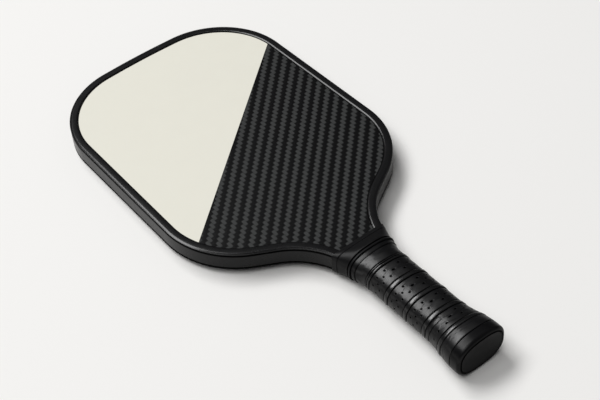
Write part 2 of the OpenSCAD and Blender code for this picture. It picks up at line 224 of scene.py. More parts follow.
def head_outline(head):
    """Outline of the head from the right of the neck over the tip to the left of the neck: four
    rounded corners on the right and their mirror image. Gives points and inward directions."""
    slope = math.atan(head.crown_fall / (head.top_width / 2))
    lift = head.crown_radius * (1 / math.cos(slope) - 1)
    crown = np.array([0, head.paddle_length + lift])
    top = np.array([head.top_width / 2, crown[1] - head.crown_fall])
    shoulder = np.array([head.shoulder_width / 2, head.shoulder_height])
    neck = np.array([head.neck_width / 2, head.neck_height])
    foot = np.array([head.neck_width / 2, 0])
    far = top * [-1, 1]
    hollow, hollow_out = corner_arc(foot, neck, shoulder, head.neck_radius, 28, head.guard_end)
    round_low, low_out = corner_arc(neck, shoulder, top, head.shoulder_radius, 40)
    round_top, top_out = corner_arc(shoulder, top, crown, head.top_radius, 44)
    middle, middle_out = corner_arc(top, crown, far, head.crown_radius, 17)
    points = np.concatenate([hollow, round_low, round_top, middle])
    inward = np.concatenate([hollow_out, -low_out, -top_out, -middle_out])
    right = points[:, 0] > -1e-9
    points, inward = points[right], inward[right]
    left = points[:, 0] > 1e-9
    mirror = np.array([-1, 1])
    points = np.concatenate([points, points[left][::-1] * mirror])
    inward = np.concatenate([inward, inward[left][::-1] * mirror])
    return points, inward


def handle_half(handle, y):
    """Half width and half thickness over the wrap: the grip's, plus the butt's flare below and
    the throat's rise above, each along half a cosine wave."""
    butt = 1 - ease(y, handle.flare_from, handle.flare_to)
    throat = ease(y, handle.throat_from, handle.throat_to)
    a = (
        handle.grip_width
        + (handle.butt_width - handle.grip_width) * butt
        + (handle.throat_width - handle.grip_width) * throat
    )
    b = (
        handle.grip_depth
        + (handle.butt_depth - handle.grip_depth) * butt
        + (handle.throat_depth - handle.grip_depth) * throat
    )
    return a / 2, b / 2


OVAL_POWER = 2.6


def polar_oval(a, b, y, power=OVAL_POWER, count=160):
    """Rings of the superellipse |x/a|^p + |z/b|^p = 1 at the heights y, one row each, with points
    at even angles: the radius is (|cos/a|^p + |sin/b|^p)^(-1/p)."""
    a, b, y, power = (np.reshape(v, (-1, 1)) for v in np.broadcast_arrays(a, b, y, power))
    t = np.arange(count) * TAU / count
    c, s = np.cos(t), np.sin(t)
    r = (np.abs(c / a) ** power + np.abs(s / b) ** power) ** (-1 / power)
    return np.stack([r * c, np.broadcast_to(y, r.shape), r * s], axis=-1)


def ring_marks(*rows, count=160):
    """Values given for rings of points, one for each point."""
    return np.repeat(np.concatenate(rows), count)


def handle_rings(handle, y, grow):
    """Rings across the handle at the heights y, grown or shrunk by grow."""
    a, b = handle_half(handle, np.asarray(y, float))
    return polar_oval(a + grow, b + grow, y)


# Wound strip of the grip. Turn 0 starts at section angle 120 degrees, in the middle of what
# the camera sees, and the angle grows with the turns.
WRAP_ANGLE = math.radians(120)
WRAP_TURNS = 5 + 5 / 6
WRAP_START = 0.25
WRAP_LEAD = 0.65
WRAP_LEVEL = 0.75
LAP_ROOM = 8 * MM
# The laps fade out before the strip's end, between these turns short of it
LAP_FADE = (0.55, 0.3)
# Perforations: cells in a turn, points along a cell, a cell's size, and the turns that have them
PORE_CELLS = 12
PORE_STEPS = 10
PORE_CELL = 7.4 * MM
PORE_ROW = 3.4 * MM
PORE_TURNS = (0.62, 4.45)
PORE_MIDDLE = 12.2 * MM
PORE_LEAD = 0.14
# Part of a burnished finish that the rubbed laps have
LAP_GLOSS = 0.6
# The strip's cut ends show: the first one lies over these turns as a thin step below the second
# lap, and the last one draws a second line along the top lap
TAIL_TURNS = (0.95, 1.5)
TAIL_STEP = 14.2 * MM
TAIL_LINE = 2.25 * MM
LINE_TURNS = (4.6, 5.4)
LINE_FADE = 0.15


def wrap_rise(handle, turns):
    """Height of the strip's lower edge: level for its first quarter turn, then a growing and at
    last steady rise that is gentler across the front of the handle than across its back."""
    t = turns - WRAP_LEVEL * np.sin(TAU * turns) / TAU
    rise = handle.wrap_pitch * (t - WRAP_LEAD * (1 - np.exp(-t / WRAP_LEAD)))
    return handle.wrap_low + np.where(turns > WRAP_START, rise, 0)


def wrap_surface(handle, turns, across, sink):
    """The strip's outer surface. turns runs along the strip and across runs from 0 at its lower
    edge to the pitch at its upper edge, squeezed where the next turn leaves less room. The height
    over the oval is a plateau on the lap, a narrow bell-shaped groove at each of its edges, and
    minus sink. Gives the points, and for each one how deep it lies in a groove and how much of
    it is the lap, both from 0 to 1."""
    low = wrap_rise(handle, turns)
    top = wrap_rise(handle, np.array(WRAP_TURNS))
    span = np.minimum(wrap_rise(handle, turns + 1), top) - low
    tight = np.clip(span / LAP_ROOM, 0, 1)
    lap = handle.lap_width
    beyond = (across - lap) / (handle.wrap_pitch - lap)
    rise = np.where(across <= lap, across * tight, lap * tight + beyond * (span - lap * tight))

    def fade(t):
        out = ease(t, WRAP_TURNS - LAP_FADE[0], WRAP_TURNS - LAP_FADE[1])
        return ease(t, WRAP_START, 1) * (1 - out)

    inside = np.clip(np.minimum(across, lap - across) / (0.9 * MM), 0, 1)
    crown = 1 - 0.25 * ((across - lap / 2) / (lap / 2)) ** 2
    plateau = handle.lap_height * (1 - (1 - inside) ** 2) * crown

    def line(distance, width=0.3 * MM):
        return np.exp(-((distance / width) ** 2))

    y = low + rise
    edges = fade(turns) * (line(across) + line(across - lap))
    edges = edges + fade(turns + 1) * line(handle.wrap_pitch - across)
    begin, end = LINE_TURNS
    shown = ease(turns, begin, begin + LINE_FADE) * (1 - ease(turns, end - LINE_FADE, end))
    tail = shown * line(across - TAIL_LINE)
    foot = 0.9 * line(y - handle.wrap_low, 0.4 * MM)
    crease = np.minimum(edges + tail + foot, 1)
    height = fade(turns) * plateau - handle.lap_groove * crease - sink
    a, b = handle_half(handle, y)
    t = WRAP_ANGLE + TAU * turns
    c, s = np.cos(t), np.sin(t)
    x = (a + height) * np.sign(c) * np.abs(c) ** (2 / OVAL_POWER)
    z = (b + height) * np.sign(s) * np.abs(s) ** (2 / OVAL_POWER)
    # The groove marks double as painted shade: the material darkens the colour along the laps'
    # grooves, the tail line and the strip's foot
    marks = np.broadcast_arrays(np.minimum(1.7 * crease, 1), fade(turns) * inside)
    return np.stack(np.broadcast_arrays(x, y, z), axis=-1), np.stack(marks, axis=-1)


def wrap_tail(handle):
    """The strip's cut first end, a thin step that shows below the second lap: a closed profile, low
    and flat on top, carried along the strip and sunk into it at both ends. Gives points and marks
    as wrap_surface does."""
    t = np.linspace(*TAIL_TURNS, 90)[:, None]
    start, end = TAIL_TURNS
    shown = ease(t, start, start + 0.03) * (1 - ease(t, end - 0.15, end))
    low = TAIL_STEP + 3.2 * MM * (t - 1)
    high = handle.wrap_pitch + 0.2 * MM
    share = np.array([0, 0, 0, 0, 0.5, 0.9, 1, 1, 0.5])
    shift = np.array([0, 0.1, 0.5, 0.8, 0, 0, 0, 0, 0]) * MM
    level = np.array([-0.15, 0.03, 0.05, 0.13, 0.13, 0.13, 0.05, -0.7, -0.7]) * MM
    across = low + shift + share * (high - low)
    top = level > -0.5 * MM
    height = np.where(top, level * shown - 0.2 * MM * (1 - shown), level)
    points, marks = wrap_surface(handle, t, across, -height)
    # Painted shade along the step's cut edge
    edge = np.array([1, 1, 1, 0, 0, 0, 0, 0, 0]) * shown
    marks[..., 0] = np.maximum(marks[..., 0], edge)
    return points, marks


def pore_cells(handle):
    """Cells of the perforated panel: three rows, the middle one shifted by half a cell. Each cell
    is a set of loops from its rectangular border to the round mouth of its pore and down to the
    pore's floor. Gives loops x points per cell, as turns, distance across, depth and the painted
    shade in the pore."""
    begin = WRAP_START - 1
    columns = round((WRAP_TURNS - begin) * PORE_CELLS)
    side = np.linspace(0, 1, PORE_STEPS + 1)[:-1]
    end = np.linspace(0, 1, 5)[:-1]
    border = np.concatenate(
        [
            np.stack([side, 0 * side], axis=1),
            np.stack([1 + 0 * end, end], axis=1),
            np.stack([1 - side, 1 + 0 * side], axis=1),
            np.stack([0 * end, 1 - end], axis=1),
        ]
    )
    cell = np.array([PORE_CELL, PORE_ROW])
    way = (border - 0.5) * cell
    way = way / np.linalg.norm(way, axis=1, keepdims=True)
    radius = handle.pore_radius
    rings = np.array([1.9, 1.1, 1.0, 0.94, 0.85, 0.0]) * radius
    depth = np.array([0, 0, 0.06, 0.5, 1, 1]) * handle.pore_depth
    # Painted shade: the pore is painted dark from its mouth down to its floor
    pore = np.array([0, 0, 0.9, 1, 1, 1.0])
    circles = np.array([0.5 + PORE_LEAD, 0.5]) + rings[:, None, None] * way / cell
    loops = np.concatenate([border[None], circles])
    depth = np.concatenate([[0], depth])
    pore = np.concatenate([[0], pore])
    grids = []
    for row, shift in ((-1, 0), (0, 0.5), (1, 0)):
        first = np.arange(columns - (shift > 0)) + shift
        turns = begin + (first[:, None, None] + loops[None, :, :, 0]) / PORE_CELLS
        across = PORE_MIDDLE + (row - 0.5 + loops[None, :, :, 1]) * PORE_ROW + 0 * turns
        middle = begin + (first + 0.5) / PORE_CELLS
        open_pore = (middle > PORE_TURNS[0]) & (middle < PORE_TURNS[1])
        if row >= 0:
            open_pore &= (middle < TAIL_TURNS[0]) | (middle > TAIL_TURNS[1])
        open_pore = open_pore[:, None, None]
        sink = open_pore * depth[None, :, None] + 0 * turns
        dark = open_pore * pore[None, :, None] + 0 * turns
        grids.append((turns, across, sink, dark))
    return grids


def quads(rows, columns, around=False):
    """Faces of a grid of points, joined along its rows where around is set."""
    r, c = np.meshgrid(
        np.arange(rows - 1), np.arange(columns if around else columns - 1), indexing="ij"
    )
    right = (c + 1) % columns
    here, above = r * columns, (r + 1) * columns
    corners = [here + c, here + right, above + right, above + c]
    return np.stack(corners, axis=-1).reshape(-1, 4)


def add_piece(name, surfaces, node, material, sharp=40, attributes=None):
    """Makes one closed piece from grids of points, given as (points, around): welds the points
    that meet, closes open ends, turns the faces outwards and puts it in the place of its node.
    attributes are names with a value for each point."""
    points, faces, count = [], [], 0
    for grid, around in surfaces:
        rows, columns = grid.shape[:2]
        points.append(grid.reshape(-1, 3))
        faces.append(quads(rows, columns, around) + count)
        count += rows * columns
    points, faces = np.concatenate(points), np.concatenate(faces)
    mesh = bpy.data.meshes.new(name)
    mesh.vertices.add(len(points))
    mesh.vertices.foreach_set("co", points.astype(np.float32).ravel())
    mesh.loops.add(faces.size)
    mesh.loops.foreach_set("vertex_index", faces.astype(np.int32).ravel())
    mesh.polygons.add(len(faces))
    mesh.polygons.foreach_set("loop_start", np.arange(0, faces.size, 4, dtype=np.int32))
    for key, value in (attributes or {}).items():
        layer = mesh.attributes.new(key, "FLOAT", "POINT")
        layer.data.foreach_set("value", value.astype(np.float32))
    mesh.update(calc_edges=True)
    work = bmesh.new()
    work.from_mesh(mesh)
    bmesh.ops.remove_doubles(work, verts=work.verts, dist=2e-7)
    open_edges = [e for e in work.edges if e.is_boundary]
    if open_edges:
        bmesh.ops.holes_fill(work, edges=open_edges, sides=0)
    bmesh.ops.recalc_face_normals(work, faces=work.faces)
    torn = [e.verts[0].co.copy() / MM for e in work.edges if not e.is_manifold]
    if torn:
        raise RuntimeError(f"{name} is not closed at {len(torn)} edges: {torn[:6]}")
    work.to_mesh(mesh)
    work.free()
    mesh.polygons.foreach_set("use_smooth", np.ones(len(mesh.polygons), bool))
    mesh.set_sharp_from_angle(angle=math.radians(sharp))
    mesh.materials.append(material)
    piece = bpy.data.objects.new(name, mesh)
    bpy.context.scene.collection.objects.link(piece)
    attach(piece, "root")
    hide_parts(node)
    return piece


def dress(material, *names):
    """Gives CAD nodes a finish."""
    for name in names:
        NODES[name].data.materials.clear()
        NODES[name].data.materials.append(material)


# Materials


def new_material(name):
    material = bpy.data.materials.new(name)
    material.use_nodes = True
    material.node_tree.nodes.clear()
    return material, material.node_tree


def add_node(tree, kind, settings=None, inputs=None):
    """Adds a node, sets its settings, and links or sets its inputs: a socket or a node is linked,
    anything else is set as the input's value."""
    node = tree.nodes.new(kind)
    for key, value in (settings or {}).items():
        setattr(node, key, value)
    for key, value in (inputs or {}).items():
        if isinstance(value, bpy.types.Node):
            value = value.outputs[0]
        if isinstance(value, bpy.types.NodeSocket):
            tree.links.new(value, node.inputs[key])
        else:
            node.inputs[key].default_value = value
    return node


def opaque(rgb):
    return (*rgb, 1)


def shade(rgb, factor):
    """A colour made lighter or darker, for the two ends of a natural variation, and for painted
    shade in perforations and grooves.
    """
    return (*(min(1, c * factor) for c in rgb), 1)


# Width of one tow of the woven face, and how far a tow leans aside along its length: the cloth lies
# a little askew, and its tows cross at 82 degrees
TOW = 2.93 * MM
SKEW = 0.07


def carbon_twill(finish):
    """Carbon fibre cloth in a satin epoxy, pressed smooth: flat tows that pass over two and under
    two, so that the floats stand in diagonal chains. Light and shade are painted into the colour:
    tows along the face are painted pale as if lit, and tows across it nearly black as if shaded."""
    material, tree = new_material("carbon_twill_in_satin_epoxy")
    place = add_node(tree, "ShaderNodeTexCoord")
    axis = []
    for count in ((1 / TOW, -SKEW / TOW, 0), (-SKEW / TOW, 1 / TOW, 0)):
        tows = add_node(
            tree,
            "ShaderNodeVectorMath",
            {"operation": "DOT_PRODUCT"},
            {0: place.outputs["Object"], 1: count},
        )
        axis.append(tows.outputs["Value"])
    heights, squares = [], []
    for along, over, centre in ((0, 1, 1.0), (1, 0, 2.0)):
        # A tow's height along its length is a cosine of period four tows, which starts one tow
        # later in each neighbour. Across its width it is a parabola.
        lane = add_node(tree, "ShaderNodeMath", {"operation": "FLOOR"}, {0: axis[over]})
        step = add_node(
            tree, "ShaderNodeMath", {"operation": "SUBTRACT"}, {0: axis[along], 1: lane}
        )
        phase = add_node(
            tree,
            "ShaderNodeMath",
            {"operation": "MULTIPLY_ADD"},
            {0: step, 1: math.pi / 2, 2: -centre * math.pi / 2},
        )
        wave = add_node(tree, "ShaderNodeMath", {"operation": "COSINE"}, {0: phase})
        part = add_node(tree, "ShaderNodeMath", {"operation": "FRACT"}, {0: axis[over]})
        off = add_node(tree, "ShaderNodeMath", {"operation": "SUBTRACT"}, {0: part, 1: 0.5})
        square = add_node(tree, "ShaderNodeMath", {"operation": "MULTIPLY"}, {0: off, 1: off})
        tow = add_node(
            tree, "ShaderNodeMath", {"operation": "MULTIPLY_ADD"}, {0: square, 1: -0.9, 2: wave}
        )
        heights.append(tow)
        squares.append(square)
    weft, warp = heights
    top = add_node(tree, "ShaderNodeMath", {"operation": "MAXIMUM"}, {0: weft, 1: warp})
    lead = add_node(tree, "ShaderNodeMath", {"operation": "SUBTRACT"}, {0: weft, 1: warp})
    weft_on_top = add_node(
        tree,
        "ShaderNodeMapRange",
        {"interpolation_type": "SMOOTHSTEP"},
        {"Value": lead, "From Min": -0.06, "From Max": 0.06},
    )
    # Filaments are 0.007 mm thick: streaks of 0.25 mm stand for bundles of them, so that they show
    streaks = []
    for stretch in ((0.25, 4.0, 1), (4.0, 0.25, 1)):
        drawn = add_node(
            tree, "ShaderNodeMapping", inputs={0: place.outputs["Object"], "Scale": stretch}
        )
        streak = add_node(
            tree,
            "ShaderNodeTexNoise",
            inputs={"Vector": drawn, "Scale": 1 / (1.0 * MM), "Detail": 2},
        )
        streaks.append(streak)
    fibre = add_node(
        tree,
        "ShaderNodeMix",
        {"data_type": "FLOAT"},
        {0: weft_on_top.outputs[0], 2: streaks[1].outputs[0], 3: streaks[0].outputs[0]},
    )
    # Painted light and shade: the pale warp colour where the warp lies on top, the nearly black weft
    # colour where the weft does
    cloth = add_node(
        tree,
        "ShaderNodeMix",
        {"data_type": "RGBA"},
        {0: weft_on_top.outputs[0], 6: opaque(finish.carbon_warp), 7: opaque(finish.carbon_weft)},
    )
    # Painted shade: the floats darken where they dive under the next tow
    lit = add_node(
        tree,
        "ShaderNodeMapRange",
        inputs={"Value": top, "From Min": -0.2, "From Max": 0.4, "To Min": 0.25, "To Max": 1},
    )
    grain = add_node(
        tree,
        "ShaderNodeMapRange",
        inputs={
            "Value": fibre.outputs[0],
            "From Min": 0.3,
            "From Max": 0.7,
            "To Min": 0.8,
            "To Max": 1.2,
        },
    )
    # Each tow darkens towards its edges: partly a thin dark line of resin between neighbouring tows,
    # partly painted shade where the tow rounds over
    aside = add_node(
        tree,
        "ShaderNodeMix",
        {"data_type": "FLOAT"},
        {0: weft_on_top.outputs[0], 2: squares[1], 3: squares[0]},
    )
    seam = add_node(
        tree,
        "ShaderNodeMapRange",
        inputs={
            "Value": aside.outputs[0],
            "From Min": 0.12,
            "From Max": 0.25,
            "To Min": 1,
            "To Max": 0.55,
        },
    )
    strand = add_node(
        tree,
        "ShaderNodeMath",
        {"operation": "MULTIPLY"},
        {0: lit.outputs[0], 1: seam.outputs[0]},
    )
    tone = add_node(
        tree,
        "ShaderNodeMath",
        {"operation": "MULTIPLY"},
        {0: strand, 1: grain.outputs[0]},
    )
    base = add_node(
        tree,
        "ShaderNodeVectorMath",
        {"operation": "SCALE"},
        {0: cloth.outputs[2], "Scale": tone},
    )
    relief = add_node(
        tree,
        "ShaderNodeMath",
        {"operation": "MULTIPLY_ADD"},
        {0: fibre.outputs[0], 1: 0.15, 2: top},
    )
    bump = add_node(
        tree,
        "ShaderNodeBump",
        inputs={"Strength": 0.35, "Distance": 0.12 * MM, "Height": relief},
    )
    rough = add_node(
        tree,
        "ShaderNodeMapRange",
        inputs={"Value": fibre.outputs[0], "To Min": 0.3, "To Max": 0.42},
    )
    shader = add_node(
        tree,
        "ShaderNodeBsdfPrincipled",
        inputs={
            "Base Color": base,
            "Roughness": rough.outputs[0],
            "IOR": 1.2,
            "Normal": bump.outputs[0],
        },
    )
    add_node(tree, "ShaderNodeOutputMaterial", inputs={"Surface": shader})
    return material


# Slants from the eye between which soft rubber loses its gloss: 0 faces the eye, 1 is edge on
FLANK_FADE = (0.24, 0.33)


def moulded(
    name, rgb, grain, depth, rough, ior, mottle=0.12, pore=None, smooth=None, flank=1.0
):
    """A plastic or rubber with the fine grain of its mould: cells of the given size set in low
    relief, and a slow unevenness of colour and gloss. A mould's grain is often about 0.1 mm and is
    drawn at 0.4 mm or more, so that it shows. One attribute argument names painted shade, which
    darkens the colour and cuts the gloss in perforations and grooves; smooth names one that makes
    the surface glossier. flank is the share of the gloss left where the surface turns from the eye;
    the photo's rubber mirrors little of the floor."""
    material, tree = new_material(name)
    place = add_node(tree, "ShaderNodeTexCoord")
    cells = add_node(
        tree,
        "ShaderNodeTexVoronoi",
        {"feature": "SMOOTH_F1"},
        {"Vector": place.outputs["Object"], "Scale": 1 / grain, "Smoothness": 0.5},
    )
    cloud = add_node(
        tree,
        "ShaderNodeTexNoise",
        inputs={"Vector": place.outputs["Object"], "Scale": 1 / (12 * MM), "Detail": 4},
    )
    base = add_node(
        tree,
        "ShaderNodeMix",
        {"data_type": "RGBA"},
        {0: cloud.outputs[0], 6: shade(rgb, 1 - mottle), 7: shade(rgb, 1 + mottle)},
    ).outputs[2]
    gloss = add_node(
        tree,
        "ShaderNodeMapRange",
        inputs={
            "Value": cloud.outputs[0],
            "From Min": 0.3,
            "From Max": 0.7,
            "To Min": rough - 0.03,
            "To Max": rough + 0.03,
        },
    ).outputs[0]
    level = 0.5
    if smooth:
        pressed = add_node(tree, "ShaderNodeAttribute", {"attribute_name": smooth})
        gloss = add_node(
            tree,
            "ShaderNodeMix",
            {"data_type": "FLOAT"},
            {0: pressed.outputs["Fac"], 2: gloss, 3: 0.2},
        ).outputs[0]
        level = add_node(
            tree,
            "ShaderNodeMapRange",
            inputs={"Value": pressed.outputs["Fac"], "To Min": 0.5, "To Max": 1},
        ).outputs[0]
    # Painted shade: marked perforations and grooves get a far darker colour and almost no gloss
    if pore:
        inside = add_node(tree, "ShaderNodeAttribute", {"attribute_name": pore})
        base = add_node(
            tree,
            "ShaderNodeMix",
            {"data_type": "RGBA"},
            {0: inside.outputs["Fac"], 6: base, 7: shade(rgb, 0.15)},
        ).outputs[2]
        level = add_node(
            tree,
            "ShaderNodeMix",
            {"data_type": "FLOAT"},
            {0: inside.outputs["Fac"], 2: level, 3: 0.02},
        ).outputs[0]
    if flank < 1:
        slant = add_node(tree, "ShaderNodeLayerWeight", inputs={"Blend": 0.5})
        left = add_node(
            tree,
            "ShaderNodeMapRange",
            inputs={
                "Value": slant.outputs["Facing"],
                "From Min": FLANK_FADE[0],
                "From Max": FLANK_FADE[1],
                "To Min": 1,
                "To Max": flank,
            },
        )
        level = add_node(
            tree,
            "ShaderNodeMath",
            {"operation": "MULTIPLY"},
            {0: level, 1: left.outputs[0]},
        ).outputs[0]
    bump = add_node(
        tree,
        "ShaderNodeBump",
        inputs={"Strength": 0.5, "Distance": depth, "Height": cells.outputs[0]},
    )
    shader = add_node(
        tree,
        "ShaderNodeBsdfPrincipled",
        inputs={
            "Base Color": base,
            "Roughness": gloss,
            "IOR": ior,
            "Specular IOR Level": level,
            "Normal": bump.outputs[0],
        },
    )
    add_node(tree, "ShaderNodeOutputMaterial", inputs={"Surface": shader})
    return material


def cream_film(finish):
    """Polyester film printed cream and pressed on: an even satin colour with a trace of orange
    peel and very slight clouding from the print."""
    return moulded(
        "cream_printed_film", finish.cream, 1.4 * MM, 0.012 * MM, 0.5, 1.35, mottle=0.012
    )


def felted(name, rgb, thread):
    """Non-woven fibre: pale threads in random directions, matte."""
    material, tree = new_material(name)
    place = add_node(tree, "ShaderNodeTexCoord")
    threads = add_node(
        tree,
        "ShaderNodeTexNoise",
        {"noise_type": "RIDGED_MULTIFRACTAL"},
        {"Vector": place.outputs["Object"], "Scale": 1 / thread, "Detail": 5},
    )
    base = add_node(
        tree,
        "ShaderNodeMix",
        {"data_type": "RGBA"},
        {0: threads.outputs[0], 6: shade(rgb, 0.8), 7: opaque(rgb)},
    )
    bump = add_node(
        tree,
        "ShaderNodeBump",
        inputs={"Strength": 0.6, "Distance": 0.1 * MM, "Height": threads.outputs[0]},
    )
    shader = add_node(
        tree,
        "ShaderNodeBsdfPrincipled",
        inputs={"Base Color": base.outputs[2], "Roughness": 0.9, "Normal": bump.outputs[0]},
    )
    add_node(tree, "ShaderNodeOutputMaterial", inputs={"Surface": shader})
    return material


def drawn_wire():
    """Galvanised steel wire: grey metal with fine lines from the die along the staple's crown."""
    material, tree = new_material("galvanised_staple_wire")
    place = add_node(tree, "ShaderNodeTexCoord")
    drawn = add_node(
        tree, "ShaderNodeMapping", inputs={0: place.outputs["Object"], "Scale": (0.1, 3, 3)}
    )
    lines = add_node(
        tree,
        "ShaderNodeTexNoise",
        inputs={"Vector": drawn, "Scale": 1 / (0.2 * MM), "Detail": 2},
    )
    tone = linear("#B9BBBD")
    base = add_node(
        tree,
        "ShaderNodeMix",
        {"data_type": "RGBA"},
        {0: lines.outputs[0], 6: shade(tone, 0.8), 7: opaque(tone)},
    )
    shader = add_node(
        tree,
        "ShaderNodeBsdfPrincipled",
        inputs={"Base Color": base.outputs[2], "Metallic": 1.0, "Roughness": 0.35},
    )
    add_node(tree, "ShaderNodeOutputMaterial", inputs={"Surface": shader})
    return material


def floor_paper(stage):
    """Seamless paper on the studio table: pale and matte, with a trace of clouding."""
    material, tree = new_material("seamless_paper")
    place = add_node(tree, "ShaderNodeTexCoord")
    cloud = add_node(
        tree,
        "ShaderNodeTexNoise",
        inputs={"Vector": place.outputs["Object"], "Scale": 3, "Detail": 3},
    )
    base = add_node(
        tree,
        "ShaderNodeMix",
        {"data_type": "RGBA"},
        {0: cloud.outputs[0], 6: shade(stage.floor, 0.995), 7: opaque(stage.floor)},
    )
    shader = add_node(
        tree,
        "ShaderNodeBsdfPrincipled",
        inputs={"Base Color": base.outputs[2], "Roughness": 0.9, "Specular IOR Level": 0.1},
    )
    add_node(tree, "ShaderNodeOutputMaterial", inputs={"Surface": shader})
    return material


# Operators


class PADDLE_OT_board(bpy.types.Operator):
    """Finish the board: carbon faces, cream films, core, veils and bonding tape"""

    bl_idname = "paddle.board"
    bl_label = "Board"

    def execute(self, context):
        finish = size("paddle_finish")
        dress(carbon_twill(finish), "front_face_sheet", "back_face_sheet")
        dress(cream_film(finish), "front_colour_film", "back_colour_film")
        # Extruded polypropylene: milky walls with a soft waxy sheen
        core = moulded(
            "polypropylene_honeycomb", linear("#E9E7DC"), 1 * MM, 0.03 * MM, 0.45, 1.49
        )
        dress(core, "honeycomb_core")
        # Bonded polyester fibre: white, fuzzy and quite without gloss. Its threads are 0.02 mm
        # thick and are drawn at 0.8 mm, so that they show
        veil = felted("polyester_core_veil", linear("#F3F1EA"), 0.8 * MM)
        dress(veil, "front_core_veil", "back_core_veil")
        # Foamed acrylic tape: a dull buff strip with a felt-like skin, drawn as coarsely
        dress(felted("acrylic_bonding_tape", linear("#C9C3B0"), 1.2 * MM), "guard_tape")
        return {"FINISHED"}


class PADDLE_OT_edge_guard(bpy.types.Operator):
    """Carry the guard's channel section round the head"""

    bl_idname = "paddle.edge_guard"
    bl_label = "Edge guard"

    def execute(self, context):
        head = size("paddle_head")
        path, inward = head_outline(head)
        high, face = head.guard_height, head.face_height
        lip, bevel, dip = head.lip_width, head.bevel_width, head.edge_groove
        # Section of the upper half, from the lip's inner edge over the lip and the bevel to the
        # wall: distance in from the outline, height, share of painted groove shade, part burnished
        fall = bevel * math.tan(head.bevel_tilt)
        corner = high - fall - 0.3 * MM
        wave = np.linspace(-1, 1, 9)
        bell = np.cos(wave * math.pi / 2) ** 2
        # The rows at the lip's inner edge carry painted shade where the lip meets the face
        inner = [
            [lip, face + 0.02 * MM, 1, 0],
            [lip, high - 0.6 * MM, 1, 0],
            [lip - 0.5 * MM, high - 0.41 * MM, 1, 0],
            [lip - 0.6 * MM, high - 0.37 * MM, 0.2, 1],
            [lip - 1.4 * MM, high - 0.05 * MM, 0, 1],
            [lip - 1.8 * MM, high, 0, 0],
        ]
        edge = [
            [bevel + 1.2 * MM, high, 0, 0],
            [bevel + 0.5 * MM, high - 0.02 * MM, 0, 0.5],
            [bevel + 0.35 * MM, high - 0.05 * MM, 0, 1],
            [0.35 * MM, high - fall, 0, 1],
            [0.16 * MM, high - fall - 0.1 * MM, 0, 0.5],
            [0.05 * MM, corner, 0, 0],
        ]
        # Painted shade in the line under the bevel
        dark = np.minimum(3 * bell, 1)
        under = np.stack([dip * bell, corner - 1.15 * MM * (1 + wave), dark, 0 * bell], axis=1)
        wall = [[0, corner - 2.5 * MM, 0, 0], [0, 2.5 * MM, 0, 0]]
        upper = np.concatenate([inner, edge, under, wall])
        lower = upper[::-1] * [1, -1, 1, 1]
        marks = np.concatenate([upper, lower, np.zeros((2, 4))])[:, 2:]
        upper, lower = upper[:, :2], lower[:, :2]
        inside = np.array([[head.guard_wall, -face], [head.guard_wall, face]])
        section = np.concatenate([upper, lower, inside])
        across = path[:, None, :] + section[None, :, :1] * inward[:, None, :]
        z = np.broadcast_to(section[None, :, 1:], (*across.shape[:2], 1))
        # Extruded thermoplastic: satin black, with a crisp bright line where its edges are
        # burnished, and painted shade in the lip's inner crease and the line under the bevel
        plastic = moulded(
            "extruded_guard_thermoplastic",
            size("paddle_finish").guard,
            0.5 * MM,
            0.003 * MM,
            0.28,
            1.27,
            pore="groove",
            smooth="burnish",
        )
        points = np.concatenate([across, z], axis=-1)
        groove, burnish = np.tile(marks, (len(path), 1)).T
        add_piece(
            "edge_guard_rim",
            [(points, True)],
            "edge_guard",
            plastic,
            30,
            {"groove": groove, "burnish": burnish},
        )
        return {"FINISHED"}


